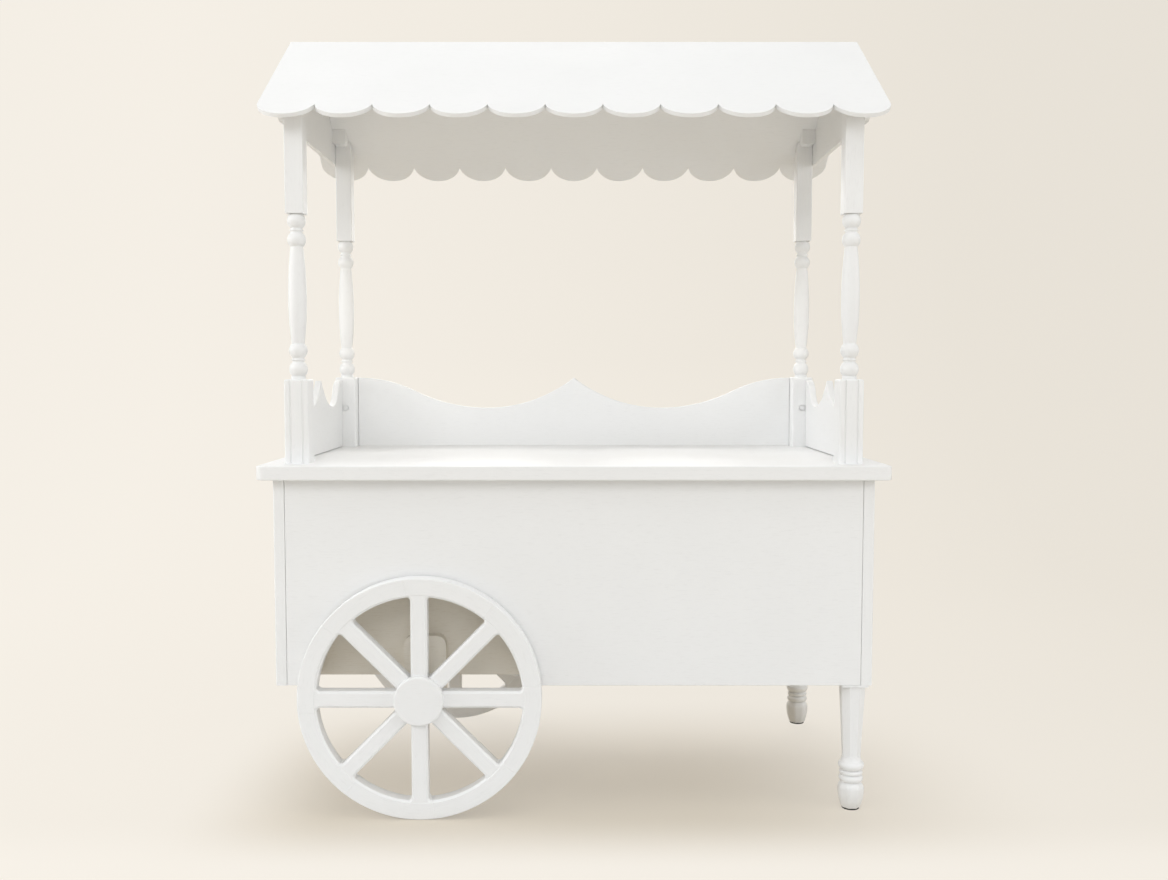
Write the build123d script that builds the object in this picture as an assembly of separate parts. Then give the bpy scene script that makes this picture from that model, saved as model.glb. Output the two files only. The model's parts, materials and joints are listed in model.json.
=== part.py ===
from build123d import *
import math
import os

# A wooden candy cart: a closed box under a counter, two spoked wheels at the left end, two turned
# legs at the right end, and a gabled roof with scalloped eaves on four turned posts.
# Millimetres and degrees. X runs along the cart, Y from front to back and Z up from the floor.

# Counter
counter_length = 1516
counter_depth = 816
counter_thickness = 34
counter_height = 852  # top face above the floor
counter_overhang = 34  # beyond the box on every side
counter_corner_radius = 20
counter_edge_radius = 3

# Box under the counter
ground_clearance = 315
end_panel_thickness = 27
panel_thickness = 18  # front and back panels
bottom_board_thickness = 15
corner_post_width = 45
counter_batten_width = 25
box_corner_radius = 4
seam_chamfer = 1.2  # on the long edges where boards meet
panel_end_gap = 0.8  # between the front or back panel and the end panels

# Wheels
wheel_radius = 293
wheel_setback = 354  # axle behind the left end of the box
wheel_thickness = 42
wheel_gap = 6  # between the rim and the panel
rim_width = 45
rim_edge_radius = 3
felloe_joint_angle = 7  # from a spoke to the next felloe joint
felloe_joint_chamfer = 0.8
spoke_count = 8
spoke_width = 40
spoke_set_back = 0.8  # spokes inside the faces of the rim
spoke_chamfer = 5  # round each gap between the spokes, on the rim too
spoke_flare_radius = 10  # where a spoke meets the rim
spoke_tenon_radius = 8
spoke_tenon_length = 18
hub_shoulder = 0.7  # each flat of the hub beyond the sides of its spoke
hub_set_back = 0.5  # hub block inside the faces of the rim
nave_radius = 38
nave_edge_radius = 4
hub_cap_margin = 5.5  # beyond the corners of the hub
hub_cap_thickness = 16.5
hub_cap_edge_radius = 5
hub_cap_spigot_length = 3
hub_recess_radius = 26
hub_recess_room = 1.7  # between the end of the axle and the hub cap
bush_wall = 4

# Axle and hangers
axle_radius = 10
axle_washer_radius = 22
axle_washer_thickness = 3
axle_nut_flat = 15
axle_nut_thickness = 12
axle_end_length = 2  # beyond the nut
hanger_half_width = 52
hanger_rise = 106  # above the axle or the bottom of the box, whichever is higher
hanger_drop = 43  # below the axle
hanger_thickness = 32
hanger_corner_radius = 24
hanger_bolt_heights = (40, 80)  # above the same level
hanger_bolt_radius = 4
hanger_bolt_end_length = 3  # beyond its nut
hanger_nut_flat = 6.5
hanger_nut_thickness = 7

# Wheel wells
arch_cover = 23  # rim over the edge of the arch in the panel
liner_step = 2  # liner behind the edge of the arch
liner_thickness = 6
well_depth = 100  # from the face of the panel to the well wall
well_wall_thickness = 15
well_wall_margin = 19  # above the liner

# Legs
leg_facets = 8
leg_end_margin = 13  # axis inside the inner face of the end panel
leg_side_margin = 16  # axis inside the inner face of the front or back panel
leg_plate_width = 68
leg_plate_thickness = 5
leg_plate_corner_radius = 8
leg_top_flat = 29.5  # from the axis to a facet at the top
leg_ankle_flat = 21  # from the axis to a facet at the narrow end
leg_root_radius = 23.5
leg_bead_radius = 31.5
leg_bead_rise = 13  # from the rings to the widest part of the bead
leg_shoulder_radius = 27
leg_shoulder_rise = 7  # from there to the shoulder
leg_cove_height = 16  # from the shoulder to the shaft
leg_upper_ring_radius = 28.5
leg_upper_ring_height = 12
leg_lower_ring_radius = 29.5
leg_lower_ring_height = 18
foot_height = 67  # above the floor
foot_base_radius = 23
foot_belly_radius = 32
foot_belly_height = 46
foot_facet_depth = 1.3  # cut into the round of the foot
leg_bolt_depth = 45  # into the corner post
glide_radius = 21
glide_thickness = 4
glide_pin_radius = 2.5
glide_pin_length = 12

# Plinths
post_end_inset = 83  # post axis from the end of the counter
post_side_inset = 108  # post axis from the front or back edge of the counter
plinth_width = 60
plinth_height = 205
plinth_edge_radius = 5
plinth_groove_radius = 2.5
plinth_groove_spacing = 30
plinth_bolt_depth = 55  # into the plinth

# Turned posts
post_block_width = 45
post_block_edge_radius = 2
post_top_radius = 8  # inner corner under the roof
post_block_length = 272  # square block, on its centre line, up to the roof
post_tenon_radius = 15
post_tenon_room = 30  # above the plinth bolt
post_collar_radius = 18
post_collar_height = 8
post_bead_radius = 22.5
post_bead_height = 33
post_bead_root_radius = 15.5
post_groove_radius = 14.5
post_groove_height = 4
post_ring_radius = 16.8
post_ring_height = 5
post_vase_radius = 22.5
post_vase_belly_height = 108
post_vase_height = 235
lock_bolt_height = 115  # above the counter
lock_bolt_reach = 1  # beyond the post tenon
lock_cap_radius = 7.4
lock_cap_thickness = 4.6
lock_cap_edge_radius = 1
lock_cap_recess_depth = 4
lock_cap_room = 2.4  # between the cap and its recess
lock_cap_rail_gap = 0.2  # between the recess and the side rail
lock_cap_ring_radius = 4.8
lock_cap_groove_width = 1.6
lock_cap_groove_depth = 1.2
lock_cap_dimple_radius = 1.3

# Rails round the counter
rail_thickness = 18
rail_inset = 2  # behind the outer faces of the plinths
rail_edge_chamfer = 2
rail_counter_gap = 2.4  # under the rails
rail_end_gap = 1.2  # between a rail and its plinths
back_rail_drop = 1  # highest point below the top of the plinths
back_rail_valley_height = 114
back_rail_valley_reach = 383  # from the plinth
side_rail_drop = 7
side_rail_valley_height = 124
side_rail_valley_reach = 120
rail_bend_share = 0.56  # where the curve from valley to plinth changes side
dowel_radius = 4
dowel_wall = 2  # wood between a dowel and the post tenon
dowel_heights = (38, 150)  # above the counter

# Roof
roof_pitch = 35
front_eave_reach = 90  # tips of the scallops beyond the post axis
back_eave_reach = 117
roof_thickness = 10
roof_end_overhang = 45  # beyond the gables
scallop_count = 11
scallop_depth = 56
gable_thickness = 12
gable_reach = 28  # beyond the post axis
gable_end_height = 34
gable_corner_radius = 18
cleat_width = 38
cleat_thickness = 38
cleat_length = 16  # where it meets the post
cleat_corner_radius = 8
ridge_batten_width = 40
ridge_batten_depth = 30

# Bolts and screws
bolt_radius = 4
bolt_head_radius = 7.5
bolt_head_height = 4
screw_radius = 2
screw_head_radius = 4
screw_head_height = 2
screw_depth = 20  # into the piece that it holds to
leg_plate_screw_offset = 24.5
leg_plate_screw_depth = 12  # into the bottom board or a panel
counter_screw_pitch = 450
cleat_screw_inset = 10  # from the faces of the cleat
cleat_screw_cover = 6  # roof board left over the screw of a cleat
cleat_gable_screw_height = 9  # above the lower end of the cleat
post_gable_screw_height = 14  # above the lower edge of the gable

# Clearances
running_clearance = 0.05  # axle in its bushes
end_float = 0.3  # wheel along its axle
fit_clearance = 0.1  # tenons, dowels and screws in their holes
seat_clearance = 0.1  # pieces cut to the slope of the roof
hole_end_room = 1  # beyond the end of a tenon or dowel
nut_sides = 6

# Places worked out from the sizes above
box_half_length = counter_length / 2 - counter_overhang
box_half_depth = counter_depth / 2 - counter_overhang
counter_underside = counter_height - counter_thickness
inner_half_length = box_half_length - end_panel_thickness
inner_half_depth = box_half_depth - panel_thickness
bottom_board_top = ground_clearance + bottom_board_thickness

axle_x = -box_half_length + wheel_setback
axle_height = wheel_radius
rim_inner_radius = wheel_radius - rim_width
arch_radius = wheel_radius - arch_cover
liner_radius = arch_radius + liner_step
liner_outer_radius = liner_radius + liner_thickness
bush_radius = axle_radius + running_clearance
bush_outer_radius = bush_radius + bush_wall
spoke_thickness = wheel_thickness - 2 * spoke_set_back
half_spoke_angle = 180 / spoke_count
hub_flat = (spoke_width / 2 + hub_shoulder) / math.tan(math.radians(half_spoke_angle))
hub_cap_radius = hub_flat / math.cos(math.radians(half_spoke_angle)) + hub_cap_margin
axle_end_stack = end_float + axle_washer_thickness + axle_nut_thickness + axle_end_length
hub_recess_depth = axle_end_stack + hub_recess_room + hub_cap_spigot_length
hanger_base = max(axle_height, ground_clearance)
hanger_top = hanger_base + hanger_rise
hanger_bottom = axle_height - hanger_drop

leg_x = inner_half_length - leg_end_margin
leg_y = inner_half_depth - leg_side_margin
leg_height = ground_clearance - leg_plate_thickness
leg_ankle_radius = leg_ankle_flat / math.cos(math.pi / leg_facets)

post_x = counter_length / 2 - post_end_inset
post_y = counter_depth / 2 - post_side_inset
plinth_half = plinth_width / 2
block_half = post_block_width / 2
plinth_top = counter_height + plinth_height
post_tenon_length = plinth_height - plinth_bolt_depth - post_tenon_room
ringed_neck_height = 2 * post_groove_height + post_ring_height
bead_pair_height = 2 * post_bead_height + ringed_neck_height
turned_height = post_collar_height + 2 * bead_pair_height + post_vase_height
block_bottom = plinth_top + turned_height
post_inner_y = post_y - block_half
lock_bolt_z = counter_height + lock_bolt_height
lock_bolt_length = plinth_half - lock_cap_recess_depth + post_tenon_radius + lock_bolt_reach
lock_recess_radius = lock_cap_radius + lock_cap_room

side_rail_x = post_x + plinth_half - rail_inset - rail_thickness / 2
back_rail_y = post_y + plinth_half - rail_inset - rail_thickness / 2
lock_bolt_x = side_rail_x - rail_thickness / 2 - lock_cap_rail_gap - lock_recess_radius
side_rail_half = post_y - plinth_half - rail_end_gap
back_rail_half = post_x - plinth_half - rail_end_gap
side_rail_height = plinth_height - side_rail_drop
back_rail_height = plinth_height - back_rail_drop
dowel_hole_depth = plinth_half - post_tenon_radius - fit_clearance - dowel_wall
dowel_depth = dowel_hole_depth - hole_end_room

pitch_slope = math.tan(math.radians(roof_pitch))
pitch_cosine = math.cos(math.radians(roof_pitch))
roof_plumb_thickness = roof_thickness / pitch_cosine
ridge_height = block_bottom + post_block_length + post_y * pitch_slope + roof_plumb_thickness
gable_inner_x = post_x + block_half
gable_outer_x = gable_inner_x + gable_thickness
gable_half_depth = post_y + gable_reach
roof_half_length = gable_outer_x + roof_end_overhang

# Faces along Y of the front wheel and what carries it, from the front to the middle of the cart
panel_face_y = -box_half_depth
rim_back_y = panel_face_y - wheel_gap
rim_front_y = rim_back_y - wheel_thickness
wheel_middle_y = (rim_front_y + rim_back_y) / 2
hub_front_y = rim_front_y + hub_set_back
hub_block_back_y = rim_back_y - hub_set_back
recess_floor_y = hub_front_y + hub_recess_depth
well_wall_y = panel_face_y + well_depth
well_back_y = well_wall_y + well_wall_thickness
hanger_front_y = well_wall_y - hanger_thickness
inner_washer_y = hanger_front_y - axle_washer_thickness
hub_back_y = inner_washer_y - end_float
outer_washer_y = recess_floor_y - end_float - axle_washer_thickness
axle_nut_y = outer_washer_y - axle_nut_thickness
axle_half_length = -(axle_nut_y - axle_end_length)

left, right = -1, 1
front, back = -1, 1
along_x = (1, 0, 0)
along_y = (0, 1, 0)
up = (0, 0, 1)


def roof_underside(y):
    """Height of the underside of the roof over a place front to back."""
    return ridge_height - roof_plumb_thickness - abs(y) * pitch_slope


def turn_round(direction):
    """The opposite direction."""
    return tuple(-value for value in direction)


def board(x_limits, y_limits, z_limits):
    """Rectangular board between limits given in either order."""
    limits = [sorted(pair) for pair in (x_limits, y_limits, z_limits)]
    middle = [(low + high) / 2 for low, high in limits]
    size = [high - low for low, high in limits]
    return Pos(*middle) * Box(*size)


def plate_along_y(outline, y_limits):
    """Flat piece with an outline drawn in X and Z, between two places along Y."""
    low, high = sorted(y_limits)
    return extrude(Plane.XZ.offset(-high) * outline, amount=high - low)


def plate_along_x(outline, x_limits):
    """Flat piece with an outline drawn in Y and Z, between two places along X."""
    low, high = sorted(x_limits)
    return extrude(Plane.YZ.offset(low) * outline, amount=high - low)


def closed_outline(*points):
    """Face with straight sides."""
    return make_face(Polyline(*points, close=True))


def rod(start, direction, radius, length):
    """Round rod, or the tool for a round hole, from a start point along a direction."""
    along = Cylinder(radius, length, align=(Align.CENTER, Align.CENTER, Align.MIN))
    return Plane(origin=start, z_dir=direction) * along


def hex_nut(start, direction, flat, thickness, bore_radius):
    """Six-sided nut from a start point along a direction."""
    outline = RegularPolygon(flat, nut_sides, major_radius=False) - Circle(bore_radius)
    return Plane(origin=start, z_dir=direction) * extrude(outline, amount=thickness)


def domed_bolt(start, direction, radius, length, head_radius, head_height):
    """Bolt or screw with a domed head seated at the start point and its shank along a direction."""
    outline = [
        Line((0, -head_height), (0, length)),
        Line((0, length), (radius, length)),
        Line((radius, length), (radius, 0)),
        Line((radius, 0), (head_radius, 0)),
        TangentArc((0, -head_height), (head_radius, 0), tangent=(1, 0)),
    ]
    turned = revolve(Plane.XZ * make_face(outline), Axis.Z)
    return Plane(origin=start, z_dir=direction) * turned


def wood_screw(start, direction, length):
    return domed_bolt(start, direction, screw_radius, length, screw_head_radius, screw_head_height)


def machine_bolt(start, direction, length):
    return domed_bolt(start, direction, bolt_radius, length, bolt_head_radius, bolt_head_height)


class Turning:
    """Outline of a turned piece, marked out from its lower end upwards."""

    def __init__(self, radius, height=0):
        self.start = height
        self.edges = [Line((0, height), (radius, height))]
        self.radius = radius
        self.height = height

    def rise(self, length):
        end = self.height + length
        self.edges.append(Line((self.radius, self.height), (self.radius, end)))
        self.height = end
        return self

    def step(self, radius):
        self.edges.append(Line((self.radius, self.height), (radius, self.height)))
        self.radius = radius
        return self

    def swell(self, belly_radius, belly_height, end_radius, length):
        """Two arcs that meet upright at the belly."""
        belly = (belly_radius, self.height + belly_height)
        end = (end_radius, self.height + length)
        self.edges.append(TangentArc(belly, (self.radius, self.height), tangent=(0, -1)))
        self.edges.append(TangentArc(belly, end, tangent=(0, 1)))
        self.radius, self.height = end
        return self

    def cove(self, radius, length):
        """Hollow arc that ends upright."""
        end = (radius, self.height + length)
        self.edges.append(TangentArc(end, (self.radius, self.height), tangent=(0, -1)))
        self.radius, self.height = end
        return self

    def bead(self, radius, length):
        return self.swell(radius, length / 2, self.radius, length)

    def half_section(self):
        """Face between the axis and the outline."""
        top = Line((self.radius, self.height), (0, self.height))
        axis = Line((0, self.height), (0, self.start))
        return make_face(self.edges + [top, axis])

    def solid(self):
        return revolve(Plane.XZ * self.half_section(), Axis.Z)


def name_of(y_side, x_side):
    """Words for a corner of the cart."""
    return ("front" if y_side == front else "back") + ("_left" if x_side == left else "_right")


def corners():
    return [(y_side, x_side) for y_side in (front, back) for x_side in (left, right)]


# Counter and box

def plinth_bolt_places():
    return [(x_side * post_x, y_side * post_y, counter_underside) for y_side, x_side in corners()]


def counter_screw_places():
    y = inner_half_depth - counter_batten_width / 2
    low = counter_underside - counter_batten_width
    return [
        (column * counter_screw_pitch, y_side * y, low)
        for y_side in (front, back)
        for column in (-1, 0, 1)
    ]


def counter_screw_length():
    return counter_batten_width + screw_depth


def counter_screw_holes():
    return [
        rod(place, up, screw_radius + fit_clearance, counter_screw_length() + hole_end_room)
        for place in counter_screw_places()
    ]


def make_counter_top():
    half_length = counter_length / 2
    half_depth = counter_depth / 2
    top = board((-half_length, half_length), (-half_depth, half_depth), (counter_underside, counter_height))
    top = fillet(top.edges().filter_by(Axis.Z), counter_corner_radius)
    faces = top.faces().sort_by(Axis.Z)
    top = fillet(faces[0].edges() + faces[-1].edges(), counter_edge_radius)
    bolt_holes = [
        rod(place, up, bolt_radius + fit_clearance, counter_thickness) for place in plinth_bolt_places()
    ]
    return top - bolt_holes - counter_screw_holes()


def make_panel(y_side):
    """Front or back panel, between the end panels, with an arch for its wheel."""
    z_limits = (ground_clearance, counter_underside)
    y_limits = (y_side * inner_half_depth, y_side * box_half_depth)
    half_length = inner_half_length - panel_end_gap
    panel = board((-half_length, half_length), y_limits, z_limits)
    outer_face = panel.faces().sort_by(Axis.Y)[0 if y_side == front else -1]
    panel = chamfer(outer_face.edges(), seam_chamfer)
    arch_start = (axle_x, -box_half_depth, axle_height)
    arch = rod(arch_start, along_y, arch_radius, 2 * box_half_depth)
    return panel - arch - leg_plate_screw_holes()


def make_end_panel(x_side):
    """End panel, rounded on its outer edges except under the counter."""
    x_limits = (x_side * inner_half_length, x_side * box_half_length)
    panel = board(x_limits, (-box_half_depth, box_half_depth), (ground_clearance, counter_underside))
    outer_face = panel.faces().sort_by(Axis.X)[-1 if x_side == right else 0]
    panel = fillet(outer_face.edges().sort_by(Axis.Z)[:-1], box_corner_radius)
    inner_face = panel.faces().sort_by(Axis.X)[0 if x_side == right else -1]
    return chamfer(inner_face.edges().filter_by(Axis.Z), seam_chamfer) - leg_plate_screw_holes()


def make_bottom_board():
    z_limits = (ground_clearance, bottom_board_top)
    bottom = board(
        (-inner_half_length, inner_half_length), (-inner_half_depth, inner_half_depth), z_limits
    )
    well_x = (axle_x - liner_outer_radius, axle_x + liner_outer_radius)
    for y_side in (front, back):
        bottom -= board(well_x, (y_side * inner_half_depth, -y_side * well_back_y), z_limits)
    leg_holes = [
        rod((leg_x, y_side * leg_y, ground_clearance), up, bolt_radius + fit_clearance,
            bottom_board_thickness)
        for y_side in (front, back)
    ]
    return bottom - leg_holes - leg_plate_screw_holes()


def make_corner_posts():
    """Posts inside the four corners of the box. The two at the right end take the leg bolts."""
    posts = []
    for y_side, x_side in corners():
        x_limits = (x_side * (inner_half_length - corner_post_width), x_side * inner_half_length)
        y_limits = (y_side * (inner_half_depth - corner_post_width), y_side * inner_half_depth)
        posts.append(board(x_limits, y_limits, (bottom_board_top, counter_underside)))
    holes = [
        rod((leg_x, y_side * leg_y, bottom_board_top), up, bolt_radius + fit_clearance,
            leg_bolt_depth + hole_end_room)
        for y_side in (front, back)
    ]
    return [post - holes for post in posts]


def make_counter_battens():
    half_length = inner_half_length - corner_post_width
    z_limits = (counter_underside - counter_batten_width, counter_underside)
    battens = []
    for y_side in (front, back):
        y_limits = (y_side * (inner_half_depth - counter_batten_width), y_side * inner_half_depth)
        battens.append(board((-half_length, half_length), y_limits, z_limits) - counter_screw_holes())
    return battens


def make_counter_screws():
    return [wood_screw(place, up, counter_screw_length()) for place in counter_screw_places()]


# Wheel wells, hangers and axle, made for the front wheel and mirrored for the rear one

def hanger_bolt_length():
    grip = hanger_thickness + well_wall_thickness
    return grip + hanger_nut_thickness + hanger_bolt_end_length


def hanger_bolt_places():
    return [(axle_x, hanger_front_y, hanger_base + rise) for rise in hanger_bolt_heights]


def hanger_bolt_holes():
    return [
        rod(place, along_y, hanger_bolt_radius + fit_clearance, hanger_bolt_length())
        for place in hanger_bolt_places()
    ]


def make_well_wall():
    wall_top = axle_height + liner_outer_radius + well_wall_margin
    x_limits = (axle_x - liner_outer_radius, axle_x + liner_outer_radius)
    wall = board(x_limits, (well_wall_y, well_back_y), (ground_clearance, wall_top))
    return wall - hanger_bolt_holes()


def make_well_liner():
    """Bent liner over the top half of the wheel, open below the box."""
    ring = Circle(liner_outer_radius) - Circle(liner_radius)
    liner = plate_along_y(Pos(axle_x, axle_height) * ring, (-inner_half_depth, well_wall_y))
    reach = (axle_x - 2 * wheel_radius, axle_x + 2 * wheel_radius)
    return liner - board(reach, (-inner_half_depth, well_wall_y), (-wheel_radius, ground_clearance))


def make_axle_hanger():
    height = hanger_top - hanger_bottom
    outline = RectangleRounded(2 * hanger_half_width, height, hanger_corner_radius)
    middle = (hanger_top + hanger_bottom) / 2
    hanger = plate_along_y(Pos(axle_x, middle) * outline, (hanger_front_y, well_wall_y))
    axle_hole = rod((axle_x, hanger_front_y, axle_height), along_y, axle_radius + fit_clearance,
                    hanger_thickness)
    return hanger - axle_hole - hanger_bolt_holes()


def make_hanger_bolts():
    bolts = []
    for place in hanger_bolt_places():
        bolts.append(
            domed_bolt(place, along_y, hanger_bolt_radius, hanger_bolt_length(),
                       bolt_head_radius, bolt_head_height)
        )
        nut_place = (place[0], well_back_y, place[2])
        bolts.append(hex_nut(nut_place, along_y, hanger_nut_flat, hanger_nut_thickness,
                             hanger_bolt_radius + fit_clearance))
    return bolts


def make_axle_rod():
    return rod((axle_x, -axle_half_length, axle_height), along_y, axle_radius, 2 * axle_half_length)


def make_axle_washers():
    """A thrust washer on the hanger and one under the nut."""
    washers = []
    for y in (inner_washer_y, outer_washer_y):
        disc = rod((axle_x, y, axle_height), along_y, axle_washer_radius, axle_washer_thickness)
        bore = rod((axle_x, y, axle_height), along_y, axle_radius + running_clearance, axle_washer_thickness)
        washers.append(disc - bore)
    return washers


def make_axle_nut():
    place = (axle_x, axle_nut_y, axle_height)
    return hex_nut(place, along_y, axle_nut_flat, axle_nut_thickness, axle_radius + running_clearance)


# Wheel, drawn about an axle at the origin along Y

def spoke_turns():
    return [Rot(0, index * 360 / spoke_count, 0) for index in range(spoke_count)]


def on_axle(piece):
    return Pos(axle_x, 0, axle_height) * piece


def make_hub():
    """Eight-sided block that takes the spokes, with a round nave behind it."""
    block_outline = RegularPolygon(hub_flat, spoke_count, major_radius=False, rotation=half_spoke_angle)
    block = plate_along_y(block_outline, (hub_front_y, hub_block_back_y))
    nave = rod((0, hub_block_back_y, 0), along_y, nave_radius, hub_back_y - hub_block_back_y)
    nave = fillet(nave.edges().filter_by(GeomType.CIRCLE).sort_by(Axis.Y)[-1], nave_edge_radius)
    recess = rod((0, hub_front_y, 0), along_y, hub_recess_radius, hub_recess_depth)
    bore = rod((0, hub_front_y, 0), along_y, bush_outer_radius + fit_clearance, hub_back_y - hub_front_y)
    mortise_start = (hub_flat, wheel_middle_y, 0)
    mortise = rod(mortise_start, turn_round(along_x), spoke_tenon_radius + fit_clearance,
                  spoke_tenon_length + hole_end_room)
    return block + nave - recess - bore - [turn * mortise for turn in spoke_turns()]


def make_bush():
    length = hub_back_y - recess_floor_y
    outer = rod((0, recess_floor_y, 0), along_y, bush_outer_radius, length)
    return outer - rod((0, recess_floor_y, 0), along_y, bush_radius, length)


def rim_section(inner_radius):
    """Section of the rim, chamfered towards the spokes and rounded on the tread."""
    section = Rectangle(rim_width, wheel_thickness)
    section = fillet(section.vertices().group_by(Axis.X)[-1], rim_edge_radius)
    section = chamfer(section.vertices().group_by(Axis.X)[0], spoke_chamfer)
    return Pos(inner_radius + rim_width / 2, wheel_middle_y) * section


def make_spokes():
    """Chamfered spokes, flared where they meet the rim, with a round tenon at each end."""
    half_width = spoke_width / 2
    half_thickness = spoke_thickness / 2
    flare_half_width = half_width + spoke_flare_radius
    corner_x = math.sqrt(rim_inner_radius**2 - half_width**2)
    flare_x = corner_x - spoke_flare_radius
    end_x = rim_inner_radius + rim_width / 2
    edges = [
        Line((hub_flat, -half_width), (hub_flat, half_width)),
        Line((end_x, -flare_half_width), (end_x, flare_half_width)),
    ]
    for side in (left, right):
        flare_start = (flare_x, side * half_width)
        flare_end = (corner_x, side * flare_half_width)
        edges.append(Line((hub_flat, side * half_width), flare_start))
        edges.append(TangentArc(flare_start, flare_end, tangent=(1, 0)))
        edges.append(Line(flare_end, (end_x, side * flare_half_width)))
    y_limits = (wheel_middle_y - half_thickness, wheel_middle_y + half_thickness)
    bar = plate_along_y(make_face(edges), y_limits)
    faces = bar.faces().filter_by(Axis.Y)
    long_edges = [edge for face in faces for edge in face.edges() if abs(edge.center().Z) > half_width / 2]
    bar = chamfer(long_edges, spoke_chamfer)
    bar -= revolve(rim_section(rim_inner_radius - seat_clearance), Axis.Y)
    tenon_start = (hub_flat - spoke_tenon_length, wheel_middle_y, 0)
    tenon_length = rim_inner_radius - hub_flat + 2 * spoke_tenon_length
    spoke = bar + rod(tenon_start, along_x, spoke_tenon_radius, tenon_length)
    return [turn * spoke for turn in spoke_turns()]


def make_felloes():
    """Arcs of the rim, one to a spoke, with their joints a little before each spoke."""
    felloe = revolve(rim_section(rim_inner_radius), Axis.Y, 360 / spoke_count)
    joints = felloe.faces().filter_by(GeomType.PLANE).filter_by(Axis.Y, reverse=True)
    felloe = chamfer([edge for face in joints for edge in face.edges()], felloe_joint_chamfer)
    felloe = Rot(0, -felloe_joint_angle, 0) * felloe
    mortise_start = (rim_inner_radius - hole_end_room, wheel_middle_y, 0)
    mortise = rod(mortise_start, along_x, spoke_tenon_radius + fit_clearance,
                  spoke_tenon_length + 2 * hole_end_room)
    felloe -= mortise
    return [turn * felloe for turn in spoke_turns()]


def make_hub_cap():
    cap = rod((0, hub_front_y, 0), turn_round(along_y), hub_cap_radius, hub_cap_thickness)
    cap = fillet(cap.edges().filter_by(GeomType.CIRCLE).sort_by(Axis.Y)[0], hub_cap_edge_radius)
    spigot_radius = hub_recess_radius - fit_clearance
    return cap + rod((0, hub_front_y, 0), along_y, spigot_radius, hub_cap_spigot_length)


# Legs

def leg_plate_screw_places():
    offsets = (-leg_plate_screw_offset, leg_plate_screw_offset)
    return [
        (leg_x + dx, y_side * leg_y + dy, ground_clearance - leg_plate_thickness)
        for y_side in (front, back)
        for dx in offsets
        for dy in offsets
    ]


def leg_plate_screw_length():
    return leg_plate_thickness + leg_plate_screw_depth


def leg_plate_screw_holes():
    return [
        rod(place, up, screw_radius + fit_clearance, leg_plate_screw_length() + hole_end_room)
        for place in leg_plate_screw_places()
    ]


def leg_outline(flat):
    """Eight-sided outline with a facet to the front."""
    return RegularPolygon(flat, leg_facets, major_radius=False, rotation=180 / leg_facets)


def foot_turning(inset):
    """Outline of a turned foot, drawn in by an inset."""
    turning = Turning(foot_base_radius - inset, glide_thickness)
    return turning.swell(foot_belly_radius - inset, foot_belly_height, leg_root_radius - inset,
                         foot_height - glide_thickness)


def make_foot():
    """Round foot with facets that follow its swell."""
    foot = foot_turning(0).solid()
    half_section = foot_turning(foot_facet_depth).half_section()
    section = half_section + mirror(half_section, about=Plane.YZ)
    slab = plate_along_y(section, (-2 * foot_belly_radius, 2 * foot_belly_radius))
    for index in range(leg_facets // 2):
        foot &= Rot(0, 0, index * 360 / leg_facets) * slab
    return foot


def make_leg(y_side):
    """Turned foot, rings and bead under a tapered shaft with eight facets."""
    collar = Turning(leg_root_radius, foot_height)
    collar.bead(leg_lower_ring_radius, leg_lower_ring_height)
    collar.bead(leg_upper_ring_radius, leg_upper_ring_height)
    collar.swell(leg_bead_radius, leg_bead_rise, leg_shoulder_radius, leg_bead_rise + leg_shoulder_rise)
    collar.cove(leg_ankle_radius, leg_cove_height)
    ends = ((collar.height, leg_ankle_flat), (leg_height, leg_top_flat))
    shaft = loft([Pos(0, 0, height) * leg_outline(flat) for height, flat in ends])
    bolt_hole = rod((0, 0, leg_height), turn_round(up), bolt_radius + fit_clearance,
                    leg_bolt_depth + hole_end_room)
    pin_hole = rod((0, 0, glide_thickness), up, glide_pin_radius + fit_clearance,
                   glide_pin_length + hole_end_room)
    return Pos(leg_x, y_side * leg_y, 0) * (make_foot() + collar.solid() + shaft - bolt_hole - pin_hole)


def make_foot_glides():
    """Pads under the feet, each with a pin."""
    pad = rod((0, 0, 0), up, glide_radius, glide_thickness)
    glide = pad + rod((0, 0, glide_thickness), up, glide_pin_radius, glide_pin_length)
    return [Pos(leg_x, y_side * leg_y, 0) * glide for y_side in (front, back)]


def make_leg_plates():
    outline = RectangleRounded(leg_plate_width, leg_plate_width, leg_plate_corner_radius)
    plate = extrude(outline - Circle(bolt_radius + fit_clearance), amount=leg_plate_thickness)
    places = [Pos(leg_x, y_side * leg_y, leg_height) for y_side in (front, back)]
    return [place * plate - leg_plate_screw_holes() for place in places]


def make_leg_bolts():
    """Studs from each leg through its plate and the bottom board into the corner post."""
    length = 2 * leg_bolt_depth + leg_plate_thickness + bottom_board_thickness
    return [
        rod((leg_x, y_side * leg_y, leg_height - leg_bolt_depth), up, bolt_radius, length)
        for y_side in (front, back)
    ]


def make_leg_plate_screws():
    return [wood_screw(place, up, leg_plate_screw_length()) for place in leg_plate_screw_places()]


# Plinths, posts and rails

def dowel_places():
    """Middle of each dowel, with the direction that it lies in."""
    places = []
    for height in dowel_heights:
        z = counter_height + height
        for y_side, x_side in corners():
            places.append(((x_side * side_rail_x, y_side * side_rail_half, z), along_y))
        for x_side in (left, right):
            places.append(((x_side * back_rail_half, back_rail_y, z), along_x))
    return places


def dowel(middle, direction, radius, depth):
    start = tuple(value - depth * step for value, step in zip(middle, direction))
    return rod(start, direction, radius, 2 * depth)


def dowel_holes():
    return [
        dowel(middle, direction, dowel_radius + fit_clearance, dowel_hole_depth)
        for middle, direction in dowel_places()
    ]


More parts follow.
